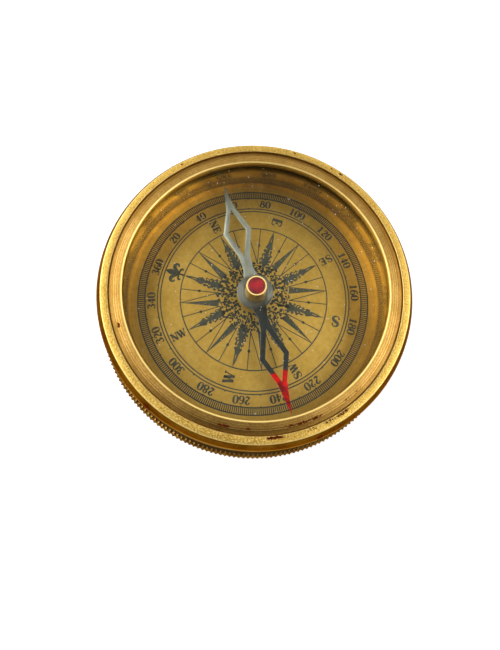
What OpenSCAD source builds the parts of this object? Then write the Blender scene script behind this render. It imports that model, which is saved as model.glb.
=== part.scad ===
// Open-faced brass compass: a turned case on a knurled screw-on base, with a
// dial at the bottom of a polished well, a flat crystal held down by a threaded
// bezel, and a steel needle with a jewelled cap that swings on a fixed pivot.
// The axis is Z, the base rests on Z = 0 and dial north points along +Y.

/* [Dial well] */
// Inside diameter of the well, which is the part of the dial that shows
well_d = 59.2; // [54:0.1:66]
// Height of the well ring above the dial
well_h = 9.7; // [8.5:0.1:13]
// Wall of the polished well ring
well_wall = 1.25; // [1:0.05:1.5]
// Thickness of the dial plate
dial_t = 0.8; // [0.5:0.1:1.5]

/* [Crystal and seal] */
// Thickness of the crystal
crystal_t = 1.2; // [0.8:0.1:2]
// How far the crystal's edge reaches past the well wall
crystal_seat = 0.9; // [0.6:0.05:1.5]
// Thickness of the seal under the crystal
seal_t = 0.3; // [0.2:0.05:0.6]
// Width of the seal beside the crystal
seal_w = 0.8; // [0.5:0.05:1.2]

/* [Bezel] */
// Height of the bezel's lip above the crystal
lip_h = 1.6; // [1.2:0.1:3]
// How far the lip reaches in past the well wall
lip_reach = 0.5; // [0.2:0.05:1]
// Width of the flat on top of the lip
lip_flat = 0.22; // [0.1:0.02:0.5]
// How much lower the bezel's outer edge lies than its lip
bezel_fall = 0.45; // [0.3:0.05:1]
// Thickness of the bezel's threaded skirt
skirt_t = 0.7; // [0.5:0.05:1.2]
// Length of the skirt below the top of the crystal
skirt_h = 1.2; // [0.6:0.05:1.3]
// Width of the groove that shows between bezel and rim
groove_w = 0.2; // [0.15:0.05:0.45]

/* [Case] */
// Width of the flat top of the rim
rim_w = 1.5; // [1:0.05:3]
// How far the shoulder spreads below the rim
shoulder_w = 1.55; // [1:0.05:3]
// Height of the shoulder
shoulder_h = 2.6; // [1.5:0.1:5]
// How much the shoulder bulges out past a straight slope
shoulder_bulge = 0.18; // [0.1:0.02:0.3]
// Thickness of the case floor under the dial
floor_t = 1; // [0.7:0.1:1.6]

/* [Base] */
// How far the knurled base stands out past the case side
base_overhang = 2.7; // [1.5:0.05:4]
// Height of the knurled base
base_h = 2.5; // [2.1:0.1:4]
// Thickness of the base's floor
base_floor = 0.9; // [0.6:0.1:1.2]
// Width of the case's foot that sits on top of the base
foot_w = 2.15; // [1.2:0.05:2.6]
// Wall of the case's threaded spigot that screws into the base
spigot_wall = 2; // [1.2:0.1:3]
// Number of knurls round the base
knurls = 220; // [120:4:260]
// Depth of the knurls
knurl_depth = 0.3; // [0.15:0.05:0.45]

/* [Pivot] */
// Diameter of the stud that goes through dial and floor
stud_d = 2.4; // [1.6:0.1:3]
// Diameter of the post's shoulder on the dial
post_flange_d = 4.4; // [3.6:0.1:6]
// Thickness of the post's shoulder
post_flange_t = 0.5; // [0.3:0.1:1]
// Diameter of the post below the needle
post_d = 3; // [2.2:0.1:3.4]
// Diameter of the post's neck inside the needle's cap
neck_d = 2; // [1.5:0.1:2.2]
// Diameter of the pivot pin
pin_d = 0.9; // [0.6:0.1:1.1]
// Depth of the pin in the post
pin_seat = 2.5; // [1.5:0.1:3]
// Length of the pin above the post
pin_free = 3.5; // [2.8:0.1:4]
// Length of the pin's pointed end
pin_taper = 1.6; // [1:0.1:2.2]
// Width across the flats of the nut
nut_af = 5; // [4:0.1:7]
// Thickness of the nut
nut_h = 0.9; // [0.7:0.1:1.5]
// Diameter of the washer
washer_d = 6.6; // [5:0.1:9]
// Thickness of the washer
washer_t = 0.3; // [0.2:0.05:0.5]

/* [Needle] */
// Dial bearing that the painted end of the needle points to
needle_heading = 237.3; // [0:0.1:360]
// Room between the needle's painted tip and the wall of the well
tip_room = 0.6; // [0.4:0.1:2]
// How much shorter the plain arm is than the painted one
arm_step = 0.6; // [0:0.1:1]
// Thickness of the needle
blade_t = 0.4; // [0.25:0.05:0.6]
// Diameter of the needle's centre disc
disc_d = 8.5; // [7.4:0.1:10]
// Width of each arm where it leaves the centre disc
root_w = 3.3; // [2.6:0.1:4]
// Width of each arm at its neck
neck_w = 2.35; // [1.8:0.05:2.6]
// Distance from the centre to the neck
neck_r = 6.1; // [5.4:0.1:7]
// Width of each arm where its opening starts
fork_w = 2.7; // [2:0.1:3.4]
// Distance from the plain tip back to the widest part of its arm
arm_back = 12.7; // [11:0.1:14]
// Width of each arm at its widest part
arm_w = 7; // [5.5:0.1:8.5]
// Width of the opening in each arm at its widest part
slot_w = 4.4; // [2.5:0.1:4.6]
// Distance from the centre to the near end of the opening
slot_in = 9.2; // [8.2:0.1:10.5]
// Length of the plain arm's sharp tip beyond its opening
spike_h = 6.7; // [6:0.1:8]
// Width of each arm where its sharp tip starts
spike_w = 2.3; // [1.8:0.1:2.8]

/* [Needle cap] */
// Height of the brass cap above the needle
cap_h = 5.1; // [4.6:0.1:5.6]
// Diameter of the brass cap where it stands on the needle
cap_d = 5.1; // [4.8:0.05:6]
// How much narrower the cap is at its top
cap_taper = 0.5; // [0:0.05:0.5]
// Diameter of the bore in the cap
cap_bore = 3.4; // [2.8:0.05:3.6]
// Gap between the cap and the crystal
cap_gap = 0.4; // [0.3:0.05:0.8]
// Diameter of the cap's riveted stem
stem_d = 4.2; // [4.1:0.05:4.6]
// Diameter of the jewel
jewel_d = 3.96; // [3.7:0.02:4.1]
// Thickness of the jewel
jewel_t = 1.15; // [0.9:0.05:1.5]
// How far the jewel's crown rises towards its middle
jewel_crown = 0.08; // [0.04:0.02:0.2]
// Depth of the cup under the jewel
cup_depth = 0.45; // [0.3:0.05:0.6]
// Diameter of the collar under the needle
collar_d = 6.4; // [5.6:0.1:7]
// Thickness of the collar
collar_t = 0.5; // [0.3:0.05:0.8]

/* [Hidden] */
$fn = 180;

// Clearances: a press or screw fit, room under the nut, and a running gap
fit = 0.02;
screw_fit = 0.03;
stud_proud = 0.1;
nut_room = 0.2;
tip_gap = 0.05;
post_gap = 0.8;
edge_break = 0.12;
jewel_sink = 0.05;
stem_proud = 0.1;
eps = 0.01;

// How much is worn off the crest of each knurl
knurl_worn = 0.04;

// Points along the curve of the shoulder
shoulder_steps = 12;

// Radii, from the well outwards
well_r = well_d / 2;
well_out_r = well_r + well_wall;
bore_r = well_out_r + fit;
crystal_r = well_r + crystal_seat;
seal_in_r = crystal_r + fit;
seal_out_r = max(seal_in_r + seal_w, bore_r + seal_w / 2);
skirt_in_r = seal_out_r + fit;
skirt_out_r = skirt_in_r + skirt_t;
mouth_r = skirt_out_r + screw_fit;
rim_r = mouth_r + rim_w;
wall_r = rim_r + shoulder_w;
base_r = wall_r + base_overhang;
spigot_r = wall_r - foot_w;
recess_r = spigot_r - spigot_wall;

// Distances along each arm of the needle, from its centre
painted_r = well_r - tip_room;
plain_r = painted_r - arm_step;
arm_r = plain_r - arm_back;
slot_out = plain_r - spike_h;

// Heights, from the base upwards
washer_z = base_floor + nut_room + stud_proud + nut_h;
floor_z = washer_z + washer_t;
dial_seat_z = floor_z + floor_t;
dial_z = dial_seat_z + dial_t;
seal_z = dial_z + well_h;
crystal_z = seal_z + seal_t;
crystal_top_z = crystal_z + crystal_t;
top_z = crystal_top_z + lip_h;
cap_top_z = crystal_z - cap_gap;
blade_top_z = cap_top_z - cap_h;
blade_z = blade_top_z - blade_t;
jewel_top_z = cap_top_z - jewel_sink;
jewel_z = jewel_top_z - jewel_t;
pin_tip_z = jewel_z + cup_depth - tip_gap;
stem_z = blade_z - collar_t - stem_proud;
post_shoulder_z = stem_z - post_gap;
post_top_z = pin_tip_z - pin_free;
stud_z = washer_z - nut_h - stud_proud;

// A turned solid: the profile's points are [radius, height]
module turned(profile) {
    rotate_extrude()
        polygon(profile);
}

// A plain ring from one radius to another, between two heights
module ring(r_in, r_out, z0, z1) {
    turned([[r_in, z0], [r_out, z0], [r_out, z1], [r_in, z1]]);
}

// Points of the shoulder, from the case side up to the edge of the rim
function shoulder_points() = [
    for (i = [0 : shoulder_steps])
        let (t = i / shoulder_steps)
        [wall_r - shoulder_w * t + shoulder_bulge * sin(180 * t),
         top_z - shoulder_h * (1 - t)]
];

module base_cap() {
    edge_r = base_h / 2;
    color("goldenrod")
    difference() {
        intersection() {
            rotate_extrude()
                union() {
                    square([base_r - edge_r, base_h]);
                    translate([base_r - edge_r, edge_r])
                        circle(r = edge_r);
                }
            linear_extrude(height = base_h)
                polygon([for (i = [0 : 2 * knurls - 1])
                    let (a = 180 * i / knurls,
                         r = base_r + (i % 2 == 0 ? knurl_worn : -knurl_depth))
                    [r * cos(a), r * sin(a)]]);
        }
        translate([0, 0, base_floor])
            cylinder(r = spigot_r + screw_fit, h = base_h);
    }
}

module case_body() {
    spigot_z = base_floor + nut_room / 2;
    color("darkgoldenrod")
    difference() {
        turned(concat(
            [[0, spigot_z], [spigot_r, spigot_z], [spigot_r, base_h],
             [wall_r, base_h]],
            shoulder_points(),
            [[0, top_z]]));
        // The bezel's threaded mouth and the bore for the well ring
        translate([0, 0, seal_z])
            cylinder(r = mouth_r, h = top_z);
        translate([0, 0, dial_seat_z])
            cylinder(r = bore_r, h = top_z);
        // The recess under the floor and the hole for the pivot's stud
        translate([0, 0, -eps])
            cylinder(r = recess_r, h = floor_z + eps);
        cylinder(d = stud_d + 2 * fit, h = top_z);
    }
}

module pivot_washer() {
    color("gold")
    ring(stud_d / 2 + fit, washer_d / 2, washer_z, floor_z);
}

module pivot_nut() {
    color("gold")
    translate([0, 0, washer_z - nut_h])
    difference() {
        cylinder(d = nut_af / cos(30), h = nut_h, $fn = 6);
        translate([0, 0, -eps])
            cylinder(d = stud_d + 2 * fit, h = nut_h + 2 * eps);
    }
}

module dial_plate() {
    color("burlywood")
    ring(stud_d / 2 + fit, well_out_r, dial_seat_z, dial_z);
}

module pivot_post() {
    color("gold")
    difference() {
        turned([
            [0, stud_z],
            [stud_d / 2, stud_z],
            [stud_d / 2, dial_z],
            [post_flange_d / 2, dial_z],
            [post_flange_d / 2, dial_z + post_flange_t],
            [post_d / 2, dial_z + post_flange_t],
            [post_d / 2, post_shoulder_z],
            [neck_d / 2, post_shoulder_z],
            [neck_d / 2, post_top_z],
            [0, post_top_z]]);
        translate([0, 0, post_top_z - pin_seat])
            cylinder(d = pin_d + 2 * fit, h = pin_seat + eps);
    }
}

module pivot_pin() {
    color("silver")
    turned([
        [0, post_top_z - pin_seat],
        [pin_d / 2, post_top_z - pin_seat],
        [pin_d / 2, pin_tip_z - pin_taper],
        [0, pin_tip_z]]);
}

module well_ring() {
    color("khaki")
    ring(well_r, well_out_r, dial_z, seal_z);
}

module crystal_seal() {
    color("black")
    turned([
        [well_r + fit, seal_z],
        [seal_out_r, seal_z],
        [seal_out_r, crystal_top_z - edge_break],
        [seal_in_r, crystal_top_z - edge_break],
        [seal_in_r, crystal_z],
        [well_r + fit, crystal_z]]);
}

module crystal() {
    color("lightcyan", 0.35)
    turned([
        [0, crystal_z],
        [crystal_r, crystal_z],
        [crystal_r, crystal_top_z],
        [0, crystal_top_z]]);
}

module bezel_ring() {
    lip_r = well_r - lip_reach;
    face_r = mouth_r - groove_w;
    face_z = top_z - bezel_fall;
    color("peru")
    turned([
        [lip_r, crystal_top_z],
        [skirt_in_r, crystal_top_z],
        [skirt_in_r, crystal_top_z - skirt_h],
        [skirt_out_r, crystal_top_z - skirt_h],
        [skirt_out_r, face_z - groove_w],
        [face_r, face_z - groove_w / 2],
        [face_r, face_z],
        [lip_r + lip_flat + edge_break, top_z],
        [lip_r + edge_break, top_z],
        [lip_r, top_z - edge_break]]);
}

// Outline of one arm along +X, from inside the centre disc to its tip
module arm_outline(tip_r) {
    polygon([
        [0, -root_w / 2], [disc_d / 2, -root_w / 2], [neck_r, -neck_w / 2],
        [slot_in, -fork_w / 2], [arm_r, -arm_w / 2],
        [slot_out, -spike_w / 2], [tip_r, 0],
        [slot_out, spike_w / 2], [arm_r, arm_w / 2],
        [slot_in, fork_w / 2], [neck_r, neck_w / 2],
        [disc_d / 2, root_w / 2], [0, root_w / 2]]);
}

module arm_slot() {
    polygon([[slot_in, 0], [arm_r, -slot_w / 2],
             [slot_out, 0], [arm_r, slot_w / 2]]);
}

module needle_blade() {
    color("slategray")
    translate([0, 0, blade_z])
    rotate(90 - needle_heading)
    linear_extrude(height = blade_t)
    difference() {
        union() {
            circle(d = disc_d);
            arm_outline(painted_r);
            rotate(180)
                arm_outline(plain_r);
        }
        circle(d = stem_d + 2 * fit);
        arm_slot();
        rotate(180)
            arm_slot();
    }
}

module needle_collar() {
    color("gray")
    ring(stem_d / 2 + fit, collar_d / 2, blade_z - collar_t, blade_z);
}

module needle_cap() {
    cap_top_r = (cap_d - cap_taper) / 2;
    color("orange")
    difference() {
        turned([
            [0, stem_z],
            [stem_d / 2, stem_z],
            [stem_d / 2, blade_top_z],
            [cap_d / 2, blade_top_z],
            [cap_top_r, cap_top_z - edge_break],
            [cap_top_r - edge_break, cap_top_z],
            [0, cap_top_z]]);
        cylinder(d = cap_bore, h = jewel_z + eps);
        translate([0, 0, jewel_z])
            cylinder(d = jewel_d + 2 * fit, h = jewel_t + jewel_sink + eps);
    }
}

module cap_jewel() {
    color("crimson")
    turned([
        [0, jewel_z + cup_depth],
        [cup_depth, jewel_z],
        [jewel_d / 2, jewel_z],
        [jewel_d / 2, jewel_top_z - jewel_crown],
        [jewel_d / 4, jewel_top_z - jewel_crown / 4],
        [0, jewel_top_z]]);
}

base_cap();
case_body();
pivot_washer();
pivot_nut();
dial_plate();
pivot_post();
pivot_pin();
well_ring();
crystal_seal();
crystal();
bezel_ring();
needle_blade();
needle_collar();
needle_cap();
cap_jewel();
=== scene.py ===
import math
import random
from functools import partial

import bmesh
import bpy
from mathutils import Matrix, Vector
from mathutils.geometry import tessellate_polygon


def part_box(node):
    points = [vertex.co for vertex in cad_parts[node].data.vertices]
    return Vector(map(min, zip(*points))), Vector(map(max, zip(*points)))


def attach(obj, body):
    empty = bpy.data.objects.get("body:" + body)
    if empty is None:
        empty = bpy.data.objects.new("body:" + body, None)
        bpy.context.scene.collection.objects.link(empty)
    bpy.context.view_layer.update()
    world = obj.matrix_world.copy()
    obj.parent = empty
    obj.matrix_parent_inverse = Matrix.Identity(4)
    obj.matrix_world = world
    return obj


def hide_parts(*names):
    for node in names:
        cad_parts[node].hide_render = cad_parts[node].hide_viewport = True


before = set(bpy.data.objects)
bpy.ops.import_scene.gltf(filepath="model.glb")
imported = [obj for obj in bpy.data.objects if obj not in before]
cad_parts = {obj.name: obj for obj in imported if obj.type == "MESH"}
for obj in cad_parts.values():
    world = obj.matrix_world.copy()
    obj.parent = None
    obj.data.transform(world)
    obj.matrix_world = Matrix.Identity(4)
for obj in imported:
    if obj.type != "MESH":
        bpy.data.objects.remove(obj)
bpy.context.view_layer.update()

MM = 0.001


# The table, the light and the camera
# A pale table under soft light from two wide diffusers, one on either hand, one
# beyond it and a low one on the left. The camera looks down from close by.
def node(tree, kind, inputs=None, **settings):
    """Adds one node; an input takes a plain value or another node's socket."""
    made = tree.nodes.new(kind)
    for name, value in settings.items():
        setattr(made, name, value)
    for key, value in (inputs or {}).items():
        if isinstance(value, bpy.types.NodeSocket):
            tree.links.new(value, made.inputs[key])
        else:
            made.inputs[key].default_value = value
    return made


def calc(tree, operation, *values, clamp=False):
    made = node(tree, "ShaderNodeMath", dict(enumerate(values)), operation=operation)
    made.use_clamp = clamp
    return made.outputs[0]


def times(tree, first, second):
    return calc(tree, "MULTIPLY", first, second)


def ranged(tree, value, low=0.0, high=1.0, first=0.0, last=1.0):
    """Carries a value from low..high over to first..last, and holds it there."""
    return node(tree, "ShaderNodeMapRange", {
        "Value": value, "From Min": low, "From Max": high,
        "To Min": first, "To Max": last}).outputs[0]


def material(build):
    """Makes a material by running the function of the same name on its nodes."""
    made = bpy.data.materials.new(build.__name__)
    made.use_nodes = True
    made.node_tree.nodes.clear()
    build(made.node_tree)
    return made


def surface(tree, inputs):
    """Ends a material with the standard shader."""
    paint = node(tree, "ShaderNodeBsdfPrincipled", inputs)
    node(tree, "ShaderNodeOutputMaterial", {"Surface": paint.outputs[0]})


def placed(name, data):
    """Puts a mesh, a curve, a lamp or the camera into the scene."""
    made = bpy.data.objects.new(name, data)
    bpy.context.collection.objects.link(made)
    return made


PICTURE_W, PICTURE_H = 500, 650
FOCAL_PX = 434.0
LENS_AXIS_PX = (247.5, 301.3)
SENSOR_MM = 36.0
NEAR_CLIP, FAR_CLIP = 5 * MM, 10.0
EYE = Vector((-28.33, -1.83, 106.87)) * MM
AIM = Vector((-1.60, 1.20, 4.57)) * MM
CAMERA_ROLL = math.radians(10.66)


def add_camera():
    data = bpy.data.cameras.new("camera")
    data.sensor_width = SENSOR_MM
    data.lens = FOCAL_PX * SENSOR_MM / PICTURE_H
    data.shift_x = (PICTURE_W / 2 - LENS_AXIS_PX[0]) / PICTURE_H
    data.shift_y = (LENS_AXIS_PX[1] - PICTURE_H / 2) / PICTURE_H
    data.clip_start = NEAR_CLIP
    data.clip_end = FAR_CLIP
    ahead = (AIM - EYE).normalized()
    level = ahead.cross(Vector((0, 0, 1))).normalized()
    right = Matrix.Rotation(-CAMERA_ROLL, 3, ahead) @ level
    turn = Matrix((right, right.cross(ahead), -ahead)).transposed()
    camera = placed("camera", data)
    camera.matrix_world = Matrix.Translation(EYE) @ turn.to_4x4()
    bpy.context.scene.camera = camera


def add_diffuser(name, azimuth, elevation, distance, width, height, watts):
    """A soft panel of light that faces the compass; azimuth counts from +X."""
    data = bpy.data.lights.new(name, "AREA")
    data.shape = "RECTANGLE"
    data.size = width
    data.size_y = height
    data.energy = watts
    a, e = math.radians(azimuth), math.radians(elevation)
    place = Vector((math.cos(a) * math.cos(e), math.sin(a) * math.cos(e), math.sin(e)))
    facing = place.to_track_quat("Z", "Y").to_matrix().to_4x4()
    placed(name, data).matrix_world = Matrix.Translation(place * distance) @ facing


TABLE_W = 3.0
TABLE_WHITE = 0.8
TABLE_GLOW = 0.62
SKY_LEVEL = 0.13


@material
def table_white(tree):
    path = node(tree, "ShaderNodeLightPath").outputs
    seen = calc(tree, "MAXIMUM", path["Is Camera Ray"],
                calc(tree, "MAXIMUM", path["Is Glossy Ray"], path["Is Transmission Ray"]))
    surface(tree, {
        "Base Color": (TABLE_WHITE, TABLE_WHITE, TABLE_WHITE, 1), "Roughness": 0.9,
        "Specular IOR Level": 0.0, "Emission Color": (1, 1, 1, 1),
        "Emission Strength": times(tree, seen, TABLE_GLOW)})


def add_table():
    data = bpy.data.meshes.new("table")
    half = TABLE_W / 2
    data.from_pydata([(-half, -half, 0), (half, -half, 0), (half, half, 0), (-half, half, 0)],
                     [], [(0, 1, 2, 3)])
    data.materials.append(table_white)
    table = placed("table", data)


def add_sky():
    world = bpy.data.worlds.new("sky")
    world.use_nodes = True
    tree = world.node_tree
    tree.nodes.clear()
    path = node(tree, "ShaderNodeLightPath").outputs
    level = ranged(tree, path["Is Camera Ray"], first=SKY_LEVEL)
    sky = node(tree, "ShaderNodeBackground", {"Color": (1, 1, 1, 1), "Strength": level})
    node(tree, "ShaderNodeOutputWorld", {"Surface": sky.outputs[0]})
    bpy.context.scene.world = world


add_camera()
add_table()
add_sky()
add_diffuser("left_diffuser", 87, 48, 0.45, 0.36, 0.30, 1.2)
add_diffuser("right_diffuser", -79, 48, 0.45, 0.34, 0.30, 1.14)
add_diffuser("far_diffuser", 0, 40, 0.50, 0.50, 0.20, 0.44)
add_diffuser("low_diffuser", 94, 16, 0.45, 0.30, 0.14, 1.4)
bpy.context.scene.view_settings.view_transform = "Standard"


# The base
# A brass cap, knurled round its rim so that it can be gripped, with a plain
# bore. It screws onto the spigot under the case and stands on the table.
ON_AXIS = 1e-9
SOCKET_KINDS = {float: "Float", int: "Int", tuple: "Color"}


def eased(corners, steps=4):
    """Rounds each corner of a closed outline; a corner is (x, y) or (x, y, radius)."""
    points = []
    for i, corner in enumerate(corners):
        here = Vector(corner[:2])
        if len(corner) < 3:
            points.append(here)
            continue
        back = Vector(corners[i - 1][:2]) - here
        ahead = Vector(corners[(i + 1) % len(corners)][:2]) - here
        reach = min(corner[2], back.length / 2, ahead.length / 2)
        start = here + back.normalized() * reach
        end = here + ahead.normalized() * reach
        for k in range(steps + 1):
            t = k / steps
            points.append(start.lerp(here, t).lerp(here.lerp(end, t), t))
    return points


def mesh_of(name, bm):
    data = bpy.data.meshes.new(name)
    bm.to_mesh(data)
    bm.free()
    return data


def finish_mesh(name, bm, finish, crease=30):
    """Turns a built mesh into an object with outward faces and smooth curves."""
    bmesh.ops.recalc_face_normals(bm, faces=bm.faces)
    data = mesh_of(name, bm)
    data.shade_smooth()
    data.set_sharp_from_angle(angle=math.radians(crease))
    data.materials.append(finish)
    return placed(name, data)


def arc(radius, first=0.0, last=math.tau, steps=48):
    """Points of (x, y) from one angle to another, with both ends."""
    return [(radius * math.cos(a), radius * math.sin(a))
            for a in (first + (last - first) * k / steps for k in range(steps + 1))]


def turned(name, outline, finish, steps=240):
    """A solid turned on the Z axis from a closed outline of (radius, height)."""
    bm = bmesh.new()
    rings = []
    for radius, height in outline:
        if radius < ON_AXIS:
            rings.append([bm.verts.new((0, 0, height))] * steps)
        else:
            rings.append([bm.verts.new((x, y, height))
                          for x, y in arc(radius, steps=steps)[:-1]])
    for ring, above in zip(rings, rings[1:] + rings[:1]):
        for k in range(steps):
            turn_on = (k + 1) % steps
            corners = list(dict.fromkeys([ring[k], ring[turn_on], above[turn_on], above[k]]))
            if len(corners) > 2:
                bm.faces.new(corners)
    return finish_mesh(name, bm, finish)


def group(kind, results, **inputs):
    """Makes a node group by running the function of the same name on its nodes.

    The type of an input's value gives its kind, and one without a value is
    named after its kind.
    """
    def made_by(build):
        tree = bpy.data.node_groups.new(build.__name__, kind)
        for label, value in inputs.items():
            made = tree.interface.new_socket(
                label, in_out="INPUT",
                socket_type="NodeSocket" + SOCKET_KINDS.get(type(value), label))
            if value is not None:
                made.default_value = value
        for label in results:
            value_kind = label if label in ("Color", "Geometry") else "Float"
            tree.interface.new_socket(label, in_out="OUTPUT",
                                      socket_type="NodeSocket" + value_kind)
        node(tree, "NodeGroupOutput", build(tree, tree.nodes.new("NodeGroupInput").outputs))
        return tree
    return made_by


def srgb(red, green, blue):
    """A colour as a screen shows it, 0 to 255, turned into linear light."""
    def linear(value):
        share = value / 255
        return share / 12.92 if share <= 0.04045 else ((share + 0.055) / 1.055) ** 2.4
    return (linear(red), linear(green), linear(blue), 1.0)


def mixed(tree, mask, first, second, amount=None):
    """Colour from first to second with a mask, times amount; a tuple is a screen colour."""
    if amount:
        mask = times(tree, mask, amount)
    first, second = (srgb(*c) if isinstance(c, tuple) else c for c in (first, second))
    return node(tree, "ShaderNodeMix", {"Factor": mask, 6: first, 7: second},
                data_type="RGBA").outputs[2]


def layered(tree, color, *layers):
    """Lays colours over one; a layer is a mask, a colour and, if need be, an amount."""
    for mask, *over in layers:
        color = mixed(tree, mask, color, *over)
    return color


def noise(tree, place, scale, detail, roughness=0.5):
    return node(tree, "ShaderNodeTexNoise", {
        "Vector": place, "Scale": scale, "Detail": detail, "Roughness": roughness}).outputs[0]


def own_place(tree):
    """The shaded point, in the piece's own coordinates."""
    return node(tree, "ShaderNodeTexCoord").outputs["Object"]


def split(tree, place):
    return node(tree, "ShaderNodeSeparateXYZ", {0: place}).outputs


def from_axis(tree, part):
    """How far a split point is from the Z axis."""
    flat = node(tree, "ShaderNodeCombineXYZ", {"X": part["X"], "Y": part["Y"]})
    return node(tree, "ShaderNodeVectorMath", {0: flat.outputs[0]},
                operation="LENGTH").outputs["Value"]


@group("ShaderNodeTree", ("Color", "Mask"),
       Bright=(1, 1, 1, 1), Dull=(0, 0, 0, 1), Size=0.01, Amount=0.5)
def patina(tree, given):
    """Bright metal that has dulled in clouds: Size is in metres."""
    place = own_place(tree)
    scale = calc(tree, "DIVIDE", 1.0, given["Size"])
    both = node(tree, "ShaderNodeMix", {
        "Factor": 0.35, "A": noise(tree, place, scale, 4.0, 0.6),
        "B": noise(tree, place, times(tree, scale, 9.0), 3.0)}, data_type="FLOAT")
    mask = ranged(tree, both.outputs[0], 0.36, 0.66, last=given["Amount"])
    return {"Color": mixed(tree, mask, given["Bright"], given["Dull"]), "Mask": mask}


@group("ShaderNodeTree", ("Height",), Pitch=0.0002, Wander=0.3)
def turning(tree, given):
    """Fine rings that a lathe leaves round the axis, Pitch metres apart."""
    place = own_place(tree)
    part = split(tree, place)
    along = calc(tree, "SUBTRACT", from_axis(tree, part), part["Z"])
    step = calc(tree, "ADD", calc(tree, "DIVIDE", along, given["Pitch"]),
                times(tree, noise(tree, place, 90.0, 1.0), given["Wander"]))
    rings = node(tree, "ShaderNodeTexNoise", {"W": step, "Scale": 1.0, "Detail": 2.0},
                 noise_dimensions="1D")
    return {"Height": rings.outputs[0]}


@group("ShaderNodeTree", ("Height", "Pits"), Size=0.0002)
def grain(tree, given):
    """The close pitted grain of metal that has been handled for years."""
    place = own_place(tree)
    scale = calc(tree, "DIVIDE", 1.0, given["Size"])
    wide = noise(tree, place, times(tree, scale, 0.22), 5.0, 0.7)
    return {"Height": noise(tree, place, scale, 3.0, 0.65),
            "Pits": ranged(tree, wide, 0.66, 0.72)}


@group("ShaderNodeTree", ("Mask",), Bearing=0.0, Radius=0.03, Reach=0.001, Spread=0.004,
       Cover=0.5)
def stain(tree, given):
    """A ragged stain: Bearing turns it round the axis, the rest is in metres."""
    place = own_place(tree)
    part = split(tree, node(tree, "ShaderNodeVectorRotate", {
        "Vector": place, "Angle": given["Bearing"]}, rotation_type="Z_AXIS").outputs[0])
    out = calc(tree, "DIVIDE", calc(tree, "SUBTRACT", part["Y"], given["Radius"]),
               given["Reach"])
    side = calc(tree, "DIVIDE", part["X"], given["Spread"])
    far = calc(tree, "ADD", times(tree, out, out), times(tree, side, side))
    falling = calc(tree, "POWER", ranged(tree, far, first=1.0, last=0.0), 0.35)
    ragged = calc(tree, "ADD", noise(tree, place, 2600.0, 5.0, 0.75), given["Cover"])
    return {"Mask": ranged(tree, times(tree, falling, ragged), 0.5, 0.6)}


def effect(tree, shader_group, **inputs):
    """Places a shader group in a material and gives its outputs."""
    return node(tree, "ShaderNodeGroup", inputs, node_tree=shader_group).outputs


def clouded(tree, bright, dull, size, amount):
    """Patina between two screen colours, with clouds of a size in millimetres."""
    return effect(tree, patina, Bright=srgb(*bright), Dull=srgb(*dull), Size=size * MM,
                  Amount=amount)


def lathed(tree, pitch, wander):
    """The height of turning lines, pitch millimetres apart."""
    return effect(tree, turning, Pitch=pitch * MM, Wander=wander)["Height"]


def grained(tree, size):
    return effect(tree, grain, Size=size * MM)


def bumped(tree, height, depth, strength, under=None):
    """A relief depth millimetres deep, on top of another where there is one."""
    inputs = {"Height": height, "Distance": depth * MM, "Strength": strength}
    if under is not None:
        inputs["Normal"] = under
    return node(tree, "ShaderNodeBump", inputs).outputs[0]


def metal(tree, color, roughness, normal, streaks=0.0, metallic=1.0,
          glance=(1, 1, 1, 1), specular=0.5):
    """The metal's shader; glance tints what it mirrors when seen along its surface."""
    inputs = {"Base Color": color, "Metallic": metallic, "Roughness": roughness,
              "Normal": normal, "Specular Tint": glance, "Specular IOR Level": specular}
    if streaks:
        round_axis = node(tree, "ShaderNodeTangent", direction_type="RADIAL", axis="Z")
        inputs["Anisotropic"] = streaks
        inputs["Tangent"] = round_axis.outputs[0]
    surface(tree, inputs)


def height_share(tree, low, high):
    """0 below the height low, 1 above the height high."""
    return ranged(tree, split(tree, own_place(tree))["Z"], low, high)


def ring_share(tree, *rings):
    """1 on each of the rings, which are (radius, width), and 0 away from them."""
    distance = from_axis(tree, split(tree, own_place(tree)))
    share = 0.0
    for radius, width in rings:
        off = calc(tree, "ABSOLUTE", calc(tree, "SUBTRACT", distance, radius))
        share = calc(tree, "MAXIMUM", share,
                     ranged(tree, off, width / 4, width / 2, 1.0, 0.0))
    return share


base_low, base_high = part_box("base_cap")
BROWN_GLANCE = srgb(196, 164, 116)
STREAKS = 0.4


@material
def base_brass(tree):
    skin = clouded(tree, (162, 120, 56), (86, 60, 26), size=6, amount=0.85)
    # The flange's top is painted much lighter than the rest: painted light where the case shades
    # it.
    painted_lit_flange = clouded(tree, (255, 222, 150), (222, 178, 104), size=4, amount=0.85)
    rings = lathed(tree, pitch=0.35, wander=0.4)
    specks = grained(tree, 0.25)
    top = height_share(tree, base_high.z - 0.14 * MM, base_high.z - 0.04 * MM)
    # A painted highlight on the flange's rounded edge.
    edge_r = base_high.x - base_high.z / 2 - 0.1 * MM
    edge = times(tree, top, ring_share(tree, (edge_r, 0.36 * MM)))
    color = layered(tree, skin["Color"], (top, painted_lit_flange["Color"]), (edge, (240, 204, 128)),
                    (rings, (58, 36, 14), 0.4), (specks["Pits"], (66, 42, 18), 0.6))
    lines = bumped(tree, rings, 0.03, 0.5)
    metal(tree, color, ranged(tree, skin["Mask"], first=0.42, last=0.58),
          bumped(tree, specks["Height"], 0.02, 0.6, lines), STREAKS, glance=BROWN_GLANCE)


def made_real(tree, copies, finish):
    """Turns copies into plain mesh with a material."""
    real = node(tree, "GeometryNodeRealizeInstances", {"Geometry": copies})
    dressed = node(tree, "GeometryNodeSetMaterial", {
        "Geometry": real.outputs[0], "Material": finish})
    return {"Geometry": dressed.outputs[0]}


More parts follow.
